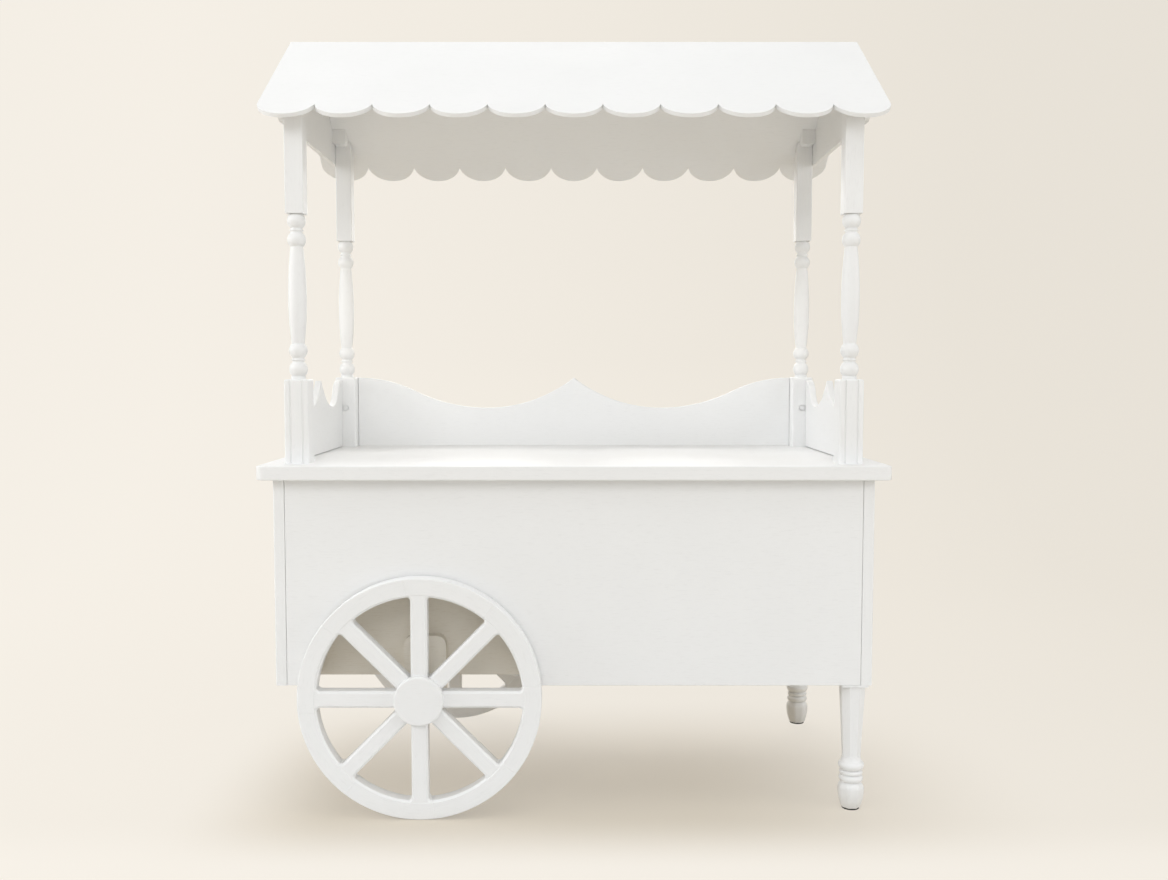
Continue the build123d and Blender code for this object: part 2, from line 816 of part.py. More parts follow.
def lock_bolt_start(y_side, x_side):
    """Place of a lock bolt's cap, on the floor of its recess in the plinth."""
    y = post_y - plinth_half + lock_cap_recess_depth
    return (x_side * lock_bolt_x, y_side * y, lock_bolt_z)


def lock_bolt_recess(y_side, x_side):
    return rod(lock_bolt_start(y_side, x_side), (0, -y_side, 0), lock_recess_radius, lock_cap_recess_depth)


def lock_bolt_hole(y_side, x_side):
    return rod(lock_bolt_start(y_side, x_side), (0, y_side, 0), bolt_radius + fit_clearance,
               lock_bolt_length + hole_end_room)


def make_plinth(y_side, x_side):
    """Base block of a post, grooved on the face that looks out to the front or back."""
    x, y = x_side * post_x, y_side * post_y
    block = board((x - plinth_half, x + plinth_half), (y - plinth_half, y + plinth_half),
                  (counter_height, plinth_top))
    block = fillet(block.edges().filter_by(Axis.Z), plinth_edge_radius)
    block = fillet(block.faces().sort_by(Axis.Z)[-1].edges(), plinth_edge_radius)
    face_y = y + y_side * plinth_half
    for side in (left, right):
        groove_place = (x + side * plinth_groove_spacing / 2, face_y, counter_height)
        block -= rod(groove_place, up, plinth_groove_radius, plinth_height)
    tenon_hole = rod((x, y, plinth_top), turn_round(up), post_tenon_radius + fit_clearance,
                     post_tenon_length + hole_end_room)
    bolt_hole = rod((x, y, counter_height), up, bolt_radius + fit_clearance,
                    plinth_bolt_depth + hole_end_room)
    lock_cuts = [lock_bolt_recess(y_side, x_side), lock_bolt_hole(y_side, x_side)]
    return block - tenon_hole - bolt_hole - lock_cuts - dowel_holes()


def add_bead_pair(turning):
    """Two beads with a ringed neck between them."""
    turning.bead(post_bead_radius, post_bead_height)
    turning.step(post_groove_radius).rise(post_groove_height)
    turning.bead(post_ring_radius, post_ring_height).rise(post_groove_height)
    turning.step(post_bead_root_radius).bead(post_bead_radius, post_bead_height)


def make_post(y_side, x_side):
    """Turned post with a tenon below and a square block above, cut to the slope of the roof."""
    turning = Turning(post_tenon_radius, plinth_top - post_tenon_length)
    turning.rise(post_tenon_length).step(post_collar_radius).rise(post_collar_height)
    turning.step(post_bead_root_radius)
    add_bead_pair(turning)
    turning.swell(post_vase_radius, post_vase_belly_height, post_bead_root_radius, post_vase_height)
    add_bead_pair(turning)
    x, y = x_side * post_x, y_side * post_y
    near, far = y - block_half, y + block_half
    block = plate_along_x(
        closed_outline(
            (near, block_bottom),
            (far, block_bottom),
            (far, roof_underside(far) - seat_clearance),
            (near, roof_underside(near) - seat_clearance),
        ),
        (x - block_half, x + block_half),
    )
    top_edges = block.faces().sort_by(Axis.Z)[-1].edges().sort_by(Axis.X)
    block = fillet(top_edges[-1 if x_side == left else 0], post_top_radius)
    block = fillet(block.edges().filter_by(Axis.Z), post_block_edge_radius)
    post = Pos(x, y, 0) * turning.solid() + block
    return post - lock_bolt_hole(y_side, x_side) - gable_screw_holes()


def make_plinth_bolts():
    length = counter_thickness + plinth_bolt_depth
    return [machine_bolt(place, up, length) for place in plinth_bolt_places()]


def make_lock_bolts():
    """Bolts through the post tenons, each with a ringed cap in the inner face of its plinth."""
    cap = rod((0, 0, 0), turn_round(up), lock_cap_radius, lock_cap_thickness)
    cap = fillet(cap.edges().filter_by(GeomType.CIRCLE).sort_by(Axis.Z)[0], lock_cap_edge_radius)
    half_groove = lock_cap_groove_width / 2
    ring = Circle(lock_cap_ring_radius + half_groove) - Circle(lock_cap_ring_radius - half_groove)
    marks = Sketch() + [ring, Circle(lock_cap_dimple_radius)]
    cap -= Pos(0, 0, -lock_cap_thickness) * extrude(marks, amount=lock_cap_groove_depth)
    bolt = cap + rod((0, 0, 0), up, bolt_radius, lock_bolt_length)
    return [
        Plane(origin=lock_bolt_start(y_side, x_side), z_dir=(0, y_side, 0)) * bolt
        for y_side, x_side in corners()
    ]


def crest_outline(half_length, height, valley_reach, valley_height):
    """Outline with a pointed middle, a valley each side and high ends, above the counter."""
    valley_offset = half_length - valley_reach
    bend_x = valley_offset + rail_bend_share * (half_length - valley_offset)
    bend_height = valley_height + rail_bend_share * (height - valley_height)
    low = rail_counter_gap
    edges = [Line((-half_length, low), (half_length, low))]
    for side in (left, right):
        peak = (0, height)
        valley = (side * valley_offset, valley_height)
        bend = (side * bend_x, bend_height)
        end = (side * half_length, height)
        edges.append(TangentArc(valley, peak, tangent=(-side, 0)))
        edges.append(TangentArc(valley, bend, tangent=(side, 0)))
        edges.append(TangentArc(end, bend, tangent=(-side, 0)))
        edges.append(Line(end, (side * half_length, low)))
    return Pos(0, counter_height) * make_face(edges)


def make_back_rail():
    outline = crest_outline(back_rail_half, back_rail_height, back_rail_valley_reach,
                            back_rail_valley_height)
    half = rail_thickness / 2
    rail = plate_along_y(outline, (back_rail_y - half, back_rail_y + half))
    crest = rail.edges().filter_by(GeomType.CIRCLE)
    return chamfer(crest, rail_edge_chamfer) - dowel_holes()


def make_side_rail(x_side):
    outline = crest_outline(side_rail_half, side_rail_height, side_rail_valley_reach,
                            side_rail_valley_height)
    half = rail_thickness / 2
    x = x_side * side_rail_x
    rail = plate_along_x(outline, (x - half, x + half))
    crest = rail.edges().filter_by(GeomType.CIRCLE)
    return chamfer(crest, rail_edge_chamfer) - dowel_holes()


def make_rail_dowels():
    return [dowel(middle, direction, dowel_radius, dowel_depth) for middle, direction in dowel_places()]


# Roof

def make_roof_board(y_side):
    """Sloping board with a scalloped eave, mitred to the other board at the ridge."""
    run = post_y + (front_eave_reach if y_side == front else back_eave_reach)
    slope_length = run / pitch_cosine
    root = slope_length - scallop_depth
    pitch = 2 * roof_half_length / scallop_count
    cusps = [-roof_half_length + index * pitch for index in range(scallop_count + 1)]
    edges = [
        Line((-roof_half_length, -root), (-roof_half_length, 0)),
        Line((-roof_half_length, 0), (roof_half_length, 0)),
        Line((roof_half_length, 0), (roof_half_length, -root)),
    ]
    for start, end in zip(cusps, cusps[1:]):
        tip = ((start + end) / 2, -slope_length)
        edges.append(ThreePointArc((start, -root), tip, (end, -root)))
    flat = extrude(make_face(edges), amount=-roof_thickness)
    sloped = Pos(0, 0, ridge_height) * (Rot(roof_pitch, 0, 0) * flat)
    across = (-roof_half_length, roof_half_length)
    sloped -= board(across, (0, run), (0, ridge_height))
    roof_board = sloped if y_side == front else mirror(sloped, about=Plane.XZ)
    return roof_board - cleat_screw_holes()


def cleat_bottom():
    return roof_underside(post_inner_y) - cleat_length


def gable_bottom():
    return roof_underside(gable_half_depth) - gable_end_height


def gable_screw_places(x_side):
    """A screw into each cleat and one into each post."""
    cleat_place = (post_inner_y - cleat_screw_inset, cleat_bottom() + cleat_gable_screw_height)
    post_place = (post_y, gable_bottom() + post_gable_screw_height)
    return [
        (x_side * gable_outer_x, y_side * y, z)
        for y_side in (front, back)
        for y, z in (cleat_place, post_place)
    ]


def gable_screw_length():
    return gable_thickness + screw_depth


def gable_screw_holes():
    return [
        rod(place, (-x_side, 0, 0), screw_radius + fit_clearance, gable_screw_length() + hole_end_room)
        for x_side in (left, right)
        for place in gable_screw_places(x_side)
    ]


def cleat_screw_y():
    return post_inner_y - cleat_thickness + cleat_screw_inset


def cleat_screw_places(y_side):
    x = gable_inner_x - cleat_width / 2
    return [(x_side * x, y_side * cleat_screw_y(), cleat_bottom()) for x_side in (left, right)]


def cleat_screw_length():
    """Up through a cleat and into the roof board, which covers its end."""
    return roof_underside(cleat_screw_y()) - cleat_bottom() + roof_plumb_thickness - cleat_screw_cover


def cleat_screw_holes():
    return [
        rod(place, up, screw_radius + fit_clearance, cleat_screw_length() + hole_end_room)
        for y_side in (front, back)
        for place in cleat_screw_places(y_side)
    ]


def make_gable(x_side):
    low = gable_bottom()
    side_top = roof_underside(gable_half_depth) - seat_clearance
    outline = closed_outline(
        (-gable_half_depth, low),
        (gable_half_depth, low),
        (gable_half_depth, side_top),
        (0, roof_underside(0) - seat_clearance),
        (-gable_half_depth, side_top),
    )
    outline = fillet(outline.vertices().group_by(Axis.Y)[0], gable_corner_radius)
    gable = plate_along_x(outline, (x_side * gable_inner_x, x_side * gable_outer_x))
    return gable - gable_screw_holes()


def make_cleat(y_side, x_side):
    """Block between a post top and the gable that the roof is screwed to."""
    near = y_side * post_inner_y
    far = y_side * (post_inner_y - cleat_thickness)
    low = cleat_bottom()
    outline = closed_outline(
        (near, low),
        (far, low),
        (far, roof_underside(far) - seat_clearance),
        (near, roof_underside(near) - seat_clearance),
    )
    cleat = plate_along_x(outline, (x_side * (gable_inner_x - cleat_width), x_side * gable_inner_x))
    low_ends = cleat.edges().filter_by(Axis.Y).group_by(Axis.Z)[0]
    cleat = fillet(low_ends, cleat_corner_radius)
    return cleat - gable_screw_holes() - cleat_screw_holes()


def make_ridge_batten():
    half = ridge_batten_width / 2
    low = roof_underside(half) - ridge_batten_depth
    outline = closed_outline(
        (-half, low),
        (half, low),
        (half, roof_underside(half) - seat_clearance),
        (0, roof_underside(0) - seat_clearance),
        (-half, roof_underside(half) - seat_clearance),
    )
    return plate_along_x(outline, (-gable_inner_x, gable_inner_x))


def make_gable_screws():
    return [
        wood_screw(place, (-x_side, 0, 0), gable_screw_length())
        for x_side in (left, right)
        for place in gable_screw_places(x_side)
    ]


def make_cleat_screws():
    return [
        wood_screw(place, up, cleat_screw_length())
        for y_side in (front, back)
        for place in cleat_screw_places(y_side)
    ]


# The whole cart

def rear(piece):
    """The same piece at the back of the cart."""
    return mirror(piece, about=Plane.XZ)


def both_wheels(name, pieces):
    """Nodes of one piece, or group of pieces, of the front wheel and of the rear wheel."""
    placed = [on_axle(piece) for piece in pieces]
    return {"front_" + name: placed, "rear_" + name: [rear(piece) for piece in placed]}


def make_nodes():
    well_wall = make_well_wall()
    well_liner = make_well_liner()
    hanger = make_axle_hanger()
    hanger_bolts = make_hanger_bolts()
    washers = make_axle_washers()
    axle_nut = make_axle_nut()
    nodes = {
        "counter_top": [make_counter_top()],
        "front_panel": [make_panel(front)],
        "back_panel": [make_panel(back)],
        "left_end_panel": [make_end_panel(left)],
        "right_end_panel": [make_end_panel(right)],
        "bottom_board": [make_bottom_board()],
        "corner_posts": make_corner_posts(),
        "counter_battens": make_counter_battens(),
        "counter_screws": make_counter_screws(),
        "front_well_wall": [well_wall],
        "rear_well_wall": [rear(well_wall)],
        "front_well_liner": [well_liner],
        "rear_well_liner": [rear(well_liner)],
        "front_axle_hanger": [hanger],
        "rear_axle_hanger": [rear(hanger)],
        "hanger_bolts": hanger_bolts + [rear(bolt) for bolt in hanger_bolts],
        "axle_rod": [make_axle_rod()],
        "axle_washers": washers + [rear(washer) for washer in washers],
        "axle_nuts": [axle_nut, rear(axle_nut)],
        "front_leg": [make_leg(front)],
        "back_leg": [make_leg(back)],
        "leg_plates": make_leg_plates(),
        "leg_bolts": make_leg_bolts(),
        "leg_plate_screws": make_leg_plate_screws(),
        "foot_glides": make_foot_glides(),
        "plinth_bolts": make_plinth_bolts(),
        "post_lock_bolts": make_lock_bolts(),
        "back_rail": [make_back_rail()],
        "left_side_rail": [make_side_rail(left)],
        "right_side_rail": [make_side_rail(right)],
        "rail_dowels": make_rail_dowels(),
        "front_roof_board": [make_roof_board(front)],
        "back_roof_board": [make_roof_board(back)],
        "left_gable": [make_gable(left)],
        "right_gable": [make_gable(right)],
        "ridge_batten": [make_ridge_batten()],
        "gable_screws": make_gable_screws(),
        "cleat_screws": make_cleat_screws(),
    }
    for y_side, x_side in corners():
        corner = name_of(y_side, x_side)
        nodes[corner + "_plinth"] = [make_plinth(y_side, x_side)]
        nodes[corner + "_post"] = [make_post(y_side, x_side)]
        nodes[corner + "_roof_cleat"] = [make_cleat(y_side, x_side)]
    nodes.update(both_wheels("wheel_hub", [make_hub()]))
    nodes.update(both_wheels("wheel_bush", [make_bush()]))
    nodes.update(both_wheels("wheel_spokes", make_spokes()))
    nodes.update(both_wheels("wheel_felloes", make_felloes()))
    nodes.update(both_wheels("hub_cap", [make_hub_cap()]))
    return nodes


def main():
    os.makedirs("parts", exist_ok=True)
    for name, pieces in make_nodes().items():
        solids = [solid for piece in pieces for solid in piece.solids()]
        export_step(Compound(children=solids), f"parts/{name}.step")


main()
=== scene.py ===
import json
import math

import bpy
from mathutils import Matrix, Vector

# Looks of a white painted wooden candy cart: satin paint over wood grain, plated steel, bronze and
# rubber, on a pale studio sweep, with soft light from the front and above and a camera square to the
# front. Metres, degrees and watts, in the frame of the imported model.

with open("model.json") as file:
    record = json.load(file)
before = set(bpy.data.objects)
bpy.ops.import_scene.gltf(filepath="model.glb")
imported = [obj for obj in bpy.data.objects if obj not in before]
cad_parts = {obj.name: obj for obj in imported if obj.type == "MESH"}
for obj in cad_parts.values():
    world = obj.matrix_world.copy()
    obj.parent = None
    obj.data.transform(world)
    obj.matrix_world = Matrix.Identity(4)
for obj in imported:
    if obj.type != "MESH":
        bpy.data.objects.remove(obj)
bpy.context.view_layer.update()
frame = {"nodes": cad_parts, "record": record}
nodes = frame["nodes"]

# Camera
camera_place = (0.0, -3.10, 1.084)
camera_tilt = 3.6  # below the horizon
camera_lens = 35.14
camera_sensor = 36
camera_shift_x = 0.0086

# Paint
paint_white = (0.858, 0.864, 0.868)
paint_shade = (0.818, 0.823, 0.827)  # where the film is thin over the grain
# Painted shade: the wells and axle hangers get a darker, warmer white than the paint, standing in for
# the warm shade inside the wheel wells.
well_painted_shade = (0.84, 0.80, 0.72)  # inside the wheel wells
well_painted_shade_thin = (0.78, 0.73, 0.64)
cloud_shade = 0.985  # of the paint's colour, in faint clouds
thin_film = (0.54, 0.72)  # values of the streaks where the film starts to thin and where it is thinnest
paint_roughness = (0.42, 0.54)
paint_specular = 0.4
grain_along = 42.0  # streaks to the metre along the grain
grain_across = 300.0
grain_depth = 0.00024
brush_across = 900.0
brush_depth = 0.00005
peel_scale = 420.0  # specks to the metre
peel_depth = brush_depth / 2
cloud_scale = 3.5

# The same paint on metal
metal_thin_film = (0.35, 0.65)
metal_peel_scale = 600.0
metal_cloud_scale = 30.0

# Bare wood
wood_pale = (0.60, 0.42, 0.23)
wood_dark = (0.42, 0.26, 0.12)
wood_roughness = (0.6, 0.78)
ring_scale = (34.0, 34.0, 3.0)
ring_span = (0.42, 0.60)  # values of the noise where the dark of a ring starts and where it is full
pore_scale = (600.0, 600.0, 14.0)
pore_span = (0.55, 0.8)
pore_share = 0.5  # of the dark colour in a pore
pore_depth = 0.00012

# Rubber
rubber_black = (0.022, 0.021, 0.020)
rubber_dusty = (0.05, 0.047, 0.043)
rubber_roughness = (0.66, 0.82)
dust_scale = 60.0
dust_span = (0.45, 0.75)
pebble_scale = 900.0
pebble_depth = 0.0001

# Turned metal
steel_bright = (0.66, 0.67, 0.68)
steel_dull = (0.50, 0.51, 0.52)
steel_roughness = 0.26
bronze_bright = (0.63, 0.42, 0.20)
bronze_dull = (0.40, 0.25, 0.12)
bronze_roughness = 0.30
roughness_spread = 0.16
tarnish_scale = 70.0
tarnish_span = (0.45, 0.75)
turning_scale = (150.0, 2600.0, 150.0)
turning_depth = 0.00003

noise_span = (0.3, 0.7)  # where most values of a noise lie

# Wheel axle, for the grain of the spokes and the rim
axle_x = -0.370
axle_z = 0.293
spoke_count = 8

# Studio
floor_colour = (0.60, 0.53, 0.42)
floor_shade = 0.975  # of the floor's colour, in faint clouds
floor_cloud_scale = 1.6
floor_roughness = 0.9
floor_specular = 0.1
fibre_scale = 260.0
fibre_depth = 0.0001
card_colour = (0.87, 0.865, 0.855)  # of the floor before the cart, for the light that it sends back
card_front = (-1.7, -1.1)  # from and to these places along Y, that colour comes in
card_back = (-0.30, -0.55)
# Painted light on the floor: to the camera the floor partly glows in plain colour, brighter at the left
# than at the right as a painted falloff of light, brighter before the cart, and in a larger share away
# from the cart, which lightens the cart's shadow there.
painted_light_left = (0.955, 0.91, 0.838)
painted_light_right = (0.85, 0.805, 0.73)
painted_light_front = (1.0, 0.955, 0.885)
painted_light_front_share = 0.5  # of that colour before the cart
painted_light_half_width = 2.6
painted_light_share = 0.36  # of the floor under the cart that is plain colour to the camera
painted_light_most = 0.90  # the same far from the cart
painted_light_front_span = (-0.40, -0.70)  # from and to these places along Y, the share grows
painted_light_back_span = (-0.2, 0.6)
painted_light_left_span = (-0.55, -1.0)  # the same along X
painted_light_right_span = (0.26, 1.25)
floor_front = -14.0
floor_back = 2.6
floor_half_width = 14.0
sweep_radius = 1.8
sweep_steps = 24
wall_top = 7.0

# Light
lamp_colour = (0.970, 0.979, 1.0)
rail_lamp_colour = (1.0, 0.94, 0.82)
air_colour = (1.0, 0.985, 0.90)
air_strength = 0.305
sky_colour = (0.93, 0.885, 0.81)  # of the air beyond the floor, where it is seen


def seen_rays(tree):
    """1 for a ray from the camera, a mirror or glass, and 0 for one that carries light."""
    rays = tree.nodes.new("ShaderNodeLightPath")
    seen = rays.outputs["Is Camera Ray"]
    for kind in ("Is Glossy Ray", "Is Transmission Ray"):
        either = tree.nodes.new("ShaderNodeMath")
        either.operation = "MAXIMUM"
        tree.links.new(seen, either.inputs[0])
        tree.links.new(rays.outputs[kind], either.inputs[1])
        seen = either.outputs[0]
    return seen


class Shader:
    """A material's node tree, with short calls for the nodes that the finishes use."""

    def __init__(self, name):
        self.material = bpy.data.materials.new(name)
        self.material.use_nodes = True
        self.tree = self.material.node_tree
        self.surface = self.tree.nodes["Principled BSDF"]

    def node(self, kind, *inputs, **settings):
        """A new node. An input is a number, a vector or the output of another node."""
        made = self.tree.nodes.new(kind)
        for key, value in settings.items():
            setattr(made, key, value)
        for index, value in enumerate(inputs):
            if isinstance(value, bpy.types.NodeSocket):
                self.tree.links.new(value, made.inputs[index])
            elif value is not None:
                made.inputs[index].default_value = value
        return made

    def set(self, name, value):
        """A value, or the output of a node, for a socket of the surface."""
        if isinstance(value, bpy.types.NodeSocket):
            self.tree.links.new(value, self.surface.inputs[name])
        else:
            self.surface.inputs[name].default_value = value

    def place(self):
        """The point on the piece, in its own frame, so that it turns with a wheel."""
        return self.node("ShaderNodeTexCoord").outputs["Object"]

    def stretch(self, vector, scale):
        return self.node("ShaderNodeVectorMath", vector, scale, operation="MULTIPLY").outputs[0]

    def sum(self, *values):
        total = values[0]
        for value in values[1:]:
            total = self.node("ShaderNodeMath", total, value, operation="ADD").outputs[0]
        return total

    def times(self, value, factor):
        return self.node("ShaderNodeMath", value, factor, operation="MULTIPLY").outputs[0]

    def noise(self, vector, scale=1.0, detail=3.0, roughness=0.55, distortion=0.0):
        made = self.node("ShaderNodeTexNoise", vector)
        made.inputs["Scale"].default_value = scale
        made.inputs["Detail"].default_value = detail
        made.inputs["Roughness"].default_value = roughness
        made.inputs["Distortion"].default_value = distortion
        return made.outputs["Fac"]

    def ramp(self, value, start, end, low=0.0, high=1.0):
        made = self.node("ShaderNodeMapRange", value, start, end, low, high)
        return made.outputs[0]

    def soft_ramp(self, value, start, end, low=0.0, high=1.0):
        made = self.node("ShaderNodeMapRange", value, start, end, low, high)
        made.interpolation_type = "SMOOTHSTEP"
        return made.outputs[0]

    def mix(self, factor, first, second):
        made = self.node("ShaderNodeMix", data_type="RGBA")
        self.tree.links.new(factor, made.inputs["Factor"])
        for name, colour in (("A", first), ("B", second)):
            socket = [s for s in made.inputs if s.name == name and s.type == "RGBA"][0]
            if isinstance(colour, bpy.types.NodeSocket):
                self.tree.links.new(colour, socket)
            else:
                socket.default_value = (*colour, 1.0)
        return [s for s in made.outputs if s.type == "RGBA"][0]

    def glow(self, colour, share):
        """Lets this share of what the camera, a mirror or glass sees of the surface be plain colour."""
        plain = self.node("ShaderNodeEmission", colour, 1.0)
        mixed = self.node("ShaderNodeMixShader", self.times(seen_rays(self.tree), share),
                          self.surface.outputs[0], plain.outputs[0])
        self.tree.links.new(mixed.outputs[0], self.tree.nodes["Material Output"].inputs["Surface"])

    def bump(self, height, distance, normal=None):
        made = self.node("ShaderNodeBump")
        made.inputs["Distance"].default_value = distance
        self.tree.links.new(height, made.inputs["Height"])
        if normal is not None:
            self.tree.links.new(normal, made.inputs["Normal"])
        return made.outputs["Normal"]


# Directions of the grain: each gives a vector that is stretched across the grain

def straight_grain(axis):
    """Grain along one axis of the cart."""
    scale = [grain_across] * 3
    scale["xyz".index(axis)] = grain_along

    def vector(shader):
        return shader.stretch(shader.place(), scale)
    return vector


def from_axle(shader):
    """Distances from the axle along X and Z, the place along Y, and the radius."""
    split = shader.node("ShaderNodeSeparateXYZ", shader.place())
    x = shader.sum(split.outputs[0], -axle_x)
    z = shader.sum(split.outputs[2], -axle_z)
    flat = shader.node("ShaderNodeCombineXYZ", x, 0.0, z).outputs[0]
    radius = shader.node("ShaderNodeVectorMath", flat, operation="LENGTH").outputs["Value"]
    return x, split.outputs[1], z, radius


def rim_grain(shader):
    """Grain round the rim."""
    x, y, z, radius = from_axle(shader)
    across = shader.times(shader.sum(radius, y), grain_across)
    along = [shader.times(value, grain_along) for value in (x, z)]
    return shader.node("ShaderNodeCombineXYZ", along[0], along[1], across).outputs[0]


def spoke_grain(shader):
    """Grain along each spoke, different from one spoke to the next."""
    x, y, z, radius = from_axle(shader)
    angle = shader.node("ShaderNodeMath", z, x, operation="ARCTAN2").outputs[0]
    wave = shader.node("ShaderNodeMath", shader.times(angle, spoke_count), operation="SINE").outputs[0]
    aside = shader.node("ShaderNodeMath", radius, wave, operation="MULTIPLY").outputs[0]
    aside = shader.times(aside, grain_across / spoke_count)
    turn = shader.node("ShaderNodeMath", shader.times(angle, spoke_count / math.tau), operation="ROUND")
    along = shader.sum(shader.times(radius, grain_along), shader.times(turn.outputs[0], grain_along))
    return shader.node("ShaderNodeCombineXYZ", along, aside, shader.times(y, grain_across)).outputs[0]


# Finishes

def painted_wood(name, grain, white=paint_white, thin_white=paint_shade):
    """Satin paint, with the grain of the wood just showing through the film."""
    shader = Shader(name)
    streak_place = grain(shader)
    streaks = shader.noise(streak_place, detail=4.0, roughness=0.6, distortion=0.4)
    brush = shader.noise(shader.stretch(streak_place, [brush_across / grain_across] * 3), detail=2.0)
    cloud = shader.noise(shader.place(), scale=cloud_scale, detail=3.0)
    peel = shader.noise(shader.place(), scale=peel_scale, detail=2.0)
    thin = shader.ramp(streaks, *thin_film)
    shade = shader.mix(shader.ramp(cloud, *noise_span), white, [cloud_shade * part for part in white])
    shader.set("Base Color", shader.mix(thin, shade, thin_white))
    rough = shader.times(shader.sum(cloud, brush), 0.5)
    shader.set("Roughness", shader.ramp(rough, *noise_span, *paint_roughness))
    shader.set("Specular IOR Level", paint_specular)
    normal = shader.bump(streaks, grain_depth)
    normal = shader.bump(brush, brush_depth, normal)
    normal = shader.bump(peel, peel_depth, normal)
    shader.set("Normal", normal)
    return shader.material


def painted_metal():
    """The same white paint on metal, with a fine peel and no grain."""
    shader = Shader("painted_metal")
    peel = shader.noise(shader.place(), scale=metal_peel_scale, detail=2.0)
    cloud = shader.noise(shader.place(), scale=metal_cloud_scale)
    thin = shader.ramp(cloud, *metal_thin_film)
    shader.set("Base Color", shader.mix(thin, paint_white, paint_shade))
    shader.set("Roughness", shader.ramp(cloud, *noise_span, *paint_roughness))
    shader.set("Specular IOR Level", paint_specular)
    shader.set("Normal", shader.bump(peel, brush_depth))
    return shader.material


def bare_wood():
    """Planed pine with rings and pores."""
    shader = Shader("bare_wood")
    rings = shader.noise(shader.stretch(shader.place(), ring_scale), detail=5.0, distortion=1.2)
    pores = shader.noise(shader.stretch(shader.place(), pore_scale), detail=3.0)
    colour = shader.mix(shader.ramp(rings, *ring_span), wood_pale, wood_dark)
    colour = shader.mix(shader.ramp(pores, *pore_span, 0.0, pore_share), colour, wood_dark)
    shader.set("Base Color", colour)
    shader.set("Roughness", shader.ramp(pores, *noise_span, *wood_roughness))
    shader.set("Normal", shader.bump(pores, pore_depth))
    return shader.material


def black_rubber():
    """Matt moulded rubber with a fine pebble and a little dust."""
    shader = Shader("black_rubber")
    pebble = shader.noise(shader.place(), scale=pebble_scale, detail=2.0)
    dust = shader.noise(shader.place(), scale=dust_scale, detail=3.0)
    shader.set("Base Color", shader.mix(shader.ramp(dust, *dust_span), rubber_black, rubber_dusty))
    shader.set("Roughness", shader.ramp(dust, *noise_span, *rubber_roughness))
    shader.set("Normal", shader.bump(pebble, pebble_depth))
    return shader.material


def turned_metal(name, bright, dull, roughness):
    """Metal with fine turning marks and a little tarnish."""
    shader = Shader(name)
    marks = shader.noise(shader.stretch(shader.place(), turning_scale), detail=2.0)
    tarnish = shader.noise(shader.place(), scale=tarnish_scale, detail=4.0)
    shader.set("Base Color", shader.mix(shader.ramp(tarnish, *tarnish_span), bright, dull))
    shader.set("Metallic", 1.0)
    shader.set("Roughness", shader.ramp(marks, *noise_span, roughness, roughness + roughness_spread))
    shader.set("Normal", shader.bump(marks, turning_depth))
    return shader.material


def dress(material, *names):
    for name in names:
        nodes[name].data.materials.clear()
        nodes[name].data.materials.append(material)


def dress_all():
    along_x = painted_wood("painted_wood_x", straight_grain("x"))
    along_y = painted_wood("painted_wood_y", straight_grain("y"))
    along_z = painted_wood("painted_wood_z", straight_grain("z"))
    spokes = painted_wood("painted_wood_spokes", spoke_grain)
    rim = painted_wood("painted_wood_rim", rim_grain)
    finishes = {
        "painted_metal": painted_metal(),
        "bare_wood": bare_wood(),
        "black_rubber": black_rubber(),
        "plated_steel": turned_metal("plated_steel", steel_bright, steel_dull, steel_roughness),
        "bronze": turned_metal("bronze", bronze_bright, bronze_dull, bronze_roughness),
        "painted_wood": along_x,
    }
    for subpart in frame["record"]["subparts"]:
        dress(finishes[subpart["material_slot"]], subpart["node"])
    for name in nodes:
        if name.endswith(("plinth", "post", "roof_cleat", "leg")):
            dress(along_z, name)
    dress(along_y, "left_end_panel", "right_end_panel", "left_side_rail", "right_side_rail",
          "left_gable", "right_gable")
    # Painted shade: a darker, warmer white on the well walls, liners and axle hangers, standing in for
    # the shade inside the wells.
    well = painted_wood("well_painted_shade", straight_grain("x"), well_painted_shade, well_painted_shade_thin)
    dress(well, "front_well_wall", "rear_well_wall", "front_well_liner", "rear_well_liner",
          "front_axle_hanger", "rear_axle_hanger")
    dress(spokes, "front_wheel_spokes", "rear_wheel_spokes")
    dress(rim, "front_wheel_felloes", "rear_wheel_felloes")


# Studio

def link(thing):
    bpy.context.scene.collection.objects.link(thing)
    return thing


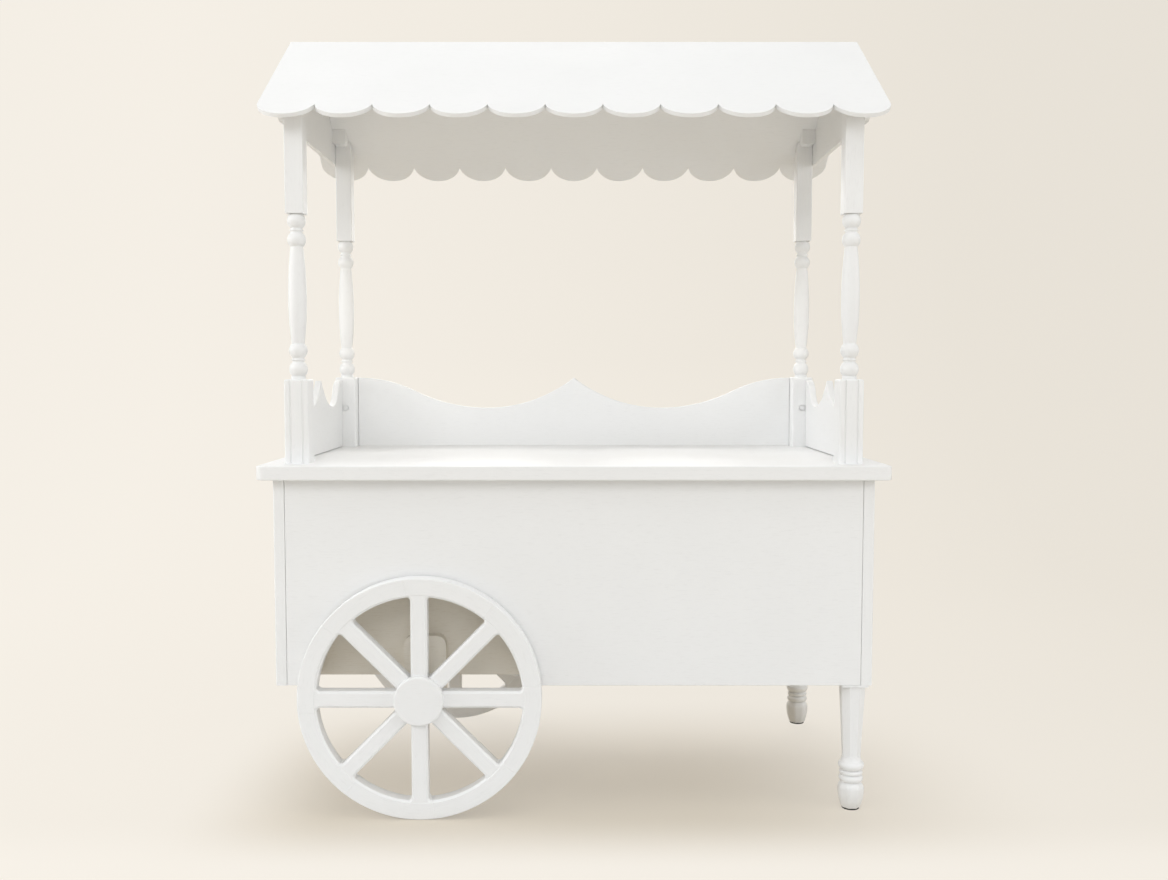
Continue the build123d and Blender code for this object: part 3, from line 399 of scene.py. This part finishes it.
def floor_finish():
    """Pale cream paper with a faint mottle, with painted light to the camera: a plain glow, brighter at
    the left than at the right and brighter before the cart, which grows away from the cart so that the
    cart's shadow fades there.
    """
    shader = Shader("studio_paper")
    cloud = shader.noise(shader.place(), scale=floor_cloud_scale, detail=3.0)
    fibre = shader.noise(shader.place(), scale=fibre_scale, detail=2.0)
    low = [floor_shade * part for part in floor_colour]
    colour = shader.mix(shader.ramp(cloud, *noise_span), floor_colour, low)
    split = shader.node("ShaderNodeSeparateXYZ", shader.place())
    x, y = split.outputs[0], split.outputs[1]
    card = shader.times(shader.soft_ramp(y, *card_front), shader.soft_ramp(y, *card_back))
    rays = shader.node("ShaderNodeLightPath")
    card = shader.times(card, rays.outputs["Is Diffuse Ray"])
    shader.set("Base Color", shader.mix(card, colour, card_colour))
    shader.set("Roughness", floor_roughness)
    shader.set("Specular IOR Level", floor_specular)
    shader.set("Normal", shader.bump(fibre, fibre_depth))
    near = 1.0
    # Painted light: the share of plain glow grows away from the cart, lightening the cart's shadow on
    # the floor.
    for place, limits in ((y, painted_light_front_span), (y, painted_light_back_span), (x, painted_light_left_span), (x, painted_light_right_span)):
        near = shader.times(shader.soft_ramp(place, *limits, 1.0, 0.0), near)
    share = shader.ramp(near, 1.0, 0.0, painted_light_share, painted_light_most)
    # Painted light: the glow is brighter at the left than at the right, and brighter before the cart.
    colour = shader.mix(shader.ramp(x, -painted_light_half_width, painted_light_half_width), painted_light_left, painted_light_right)
    colour = shader.mix(shader.soft_ramp(y, *painted_light_front_span, 0.0, painted_light_front_share), colour, painted_light_front)
    shader.glow(colour, share)
    return shader.material


def make_floor():
    """Floor that sweeps up into a wall behind the cart."""
    profile = [(floor_front, 0.0), (floor_back, 0.0)]
    for step in range(1, sweep_steps + 1):
        angle = math.radians(90.0 * step / sweep_steps)
        profile.append((
            floor_back + sweep_radius * math.sin(angle),
            sweep_radius * (1.0 - math.cos(angle)),
        ))
    profile.append((floor_back + sweep_radius, wall_top))
    points = [(side * floor_half_width, y, z) for y, z in profile for side in (-1, 1)]
    faces = [(2 * i, 2 * i + 1, 2 * i + 3, 2 * i + 2) for i in range(len(profile) - 1)]
    mesh = bpy.data.meshes.new("studio_floor")
    mesh.from_pydata(points, [], faces)
    for face in mesh.polygons:
        face.use_smooth = True
    mesh.materials.append(floor_finish())
    link(bpy.data.objects.new("studio_floor", mesh))


def make_light(name, place, target, size, power, colour=lamp_colour):
    """Soft box of a width and a height at a place, facing a target."""
    lamp = bpy.data.lights.new(name, "AREA")
    lamp.color = colour
    lamp.shape = "RECTANGLE"
    lamp.size, lamp.size_y = size
    lamp.energy = power
    thing = link(bpy.data.objects.new(name, lamp))
    thing.location = place
    thing.rotation_euler = (Vector(target) - Vector(place)).to_track_quat("-Z", "Y").to_euler()
    thing.visible_camera = False


def make_lights():
    """Each lamp has its place, the point that it faces, its width and height, and its power."""
    make_light("key", (-0.5, -5.8, 4.1), (0.0, 0.0, 0.6), (3.8, 3.4), 89.0)
    make_light("front_fill", (1.2, -6.4, 0.8), (0.2, 0.0, 0.2), (4.0, 1.2), 16.0)
    make_light("left_high", (-4.0, -3.4, 3.6), (0.0, 0.0, 0.7), (2.4, 2.0), 47.0)
    make_light("right_front", (4.0, -3.8, 2.2), (0.0, 0.0, 0.7), (2.4, 2.0), 24.0)
    make_light("left_fill", (-5.4, -1.0, 2.4), (0.0, 0.0, 0.9), (2.4, 2.0), 104.0)
    make_light("right_fill", (5.2, -2.0, 1.8), (0.0, 0.0, 0.6), (2.4, 2.0), 60.0)
    make_light("top", (0.8, -1.9, 5.6), (0.3, -0.5, 0.0), (3.0, 2.6), 52.0)
    make_light("back", (-0.6, 3.2, 5.2), (-0.1, 1.2, 0.0), (6.5, 2.4), 86.0)
    make_light("counter", (0.0, 3.4, 3.4), (0.0, -0.3, 0.85), (4.5, 0.6), 32.0)
    make_light("behind", (0.0, 4.0, 1.9), (0.0, 0.4, 0.6), (3.0, 0.8), 22.0)
    make_light("rail_left", (-0.46, 0.05, 1.36), (-0.52, 0.33, 0.95), (0.5, 0.1), 0.28, rail_lamp_colour)
    make_light("rail_right", (0.46, 0.05, 1.36), (0.52, 0.33, 0.95), (0.5, 0.1), 0.17, rail_lamp_colour)


def make_air():
    """Even light from all round, which looks as pale as the floor where it is seen."""
    world = bpy.data.worlds.new("studio_air")
    world.use_nodes = True
    tree = world.node_tree
    air = tree.nodes["Background"]
    air.inputs["Color"].default_value = (*air_colour, 1.0)
    air.inputs["Strength"].default_value = air_strength
    sky = tree.nodes.new("ShaderNodeBackground")
    sky.inputs["Color"].default_value = (*sky_colour, 1.0)
    mixed = tree.nodes.new("ShaderNodeMixShader")
    tree.links.new(seen_rays(tree), mixed.inputs[0])
    tree.links.new(air.outputs[0], mixed.inputs[1])
    tree.links.new(sky.outputs[0], mixed.inputs[2])
    tree.links.new(mixed.outputs[0], tree.nodes["World Output"].inputs["Surface"])
    bpy.context.scene.world = world


def make_camera():
    lens = bpy.data.cameras.new("camera")
    lens.lens = camera_lens
    lens.sensor_fit = "HORIZONTAL"
    lens.sensor_width = camera_sensor
    lens.shift_x = camera_shift_x
    thing = link(bpy.data.objects.new("camera", lens))
    thing.location = camera_place
    thing.rotation_euler = (math.radians(90.0 - camera_tilt), 0.0, 0.0)
    bpy.context.scene.camera = thing


dress_all()
make_floor()
make_lights()
make_air()
make_camera()
bpy.context.scene.view_settings.view_transform = "Standard"
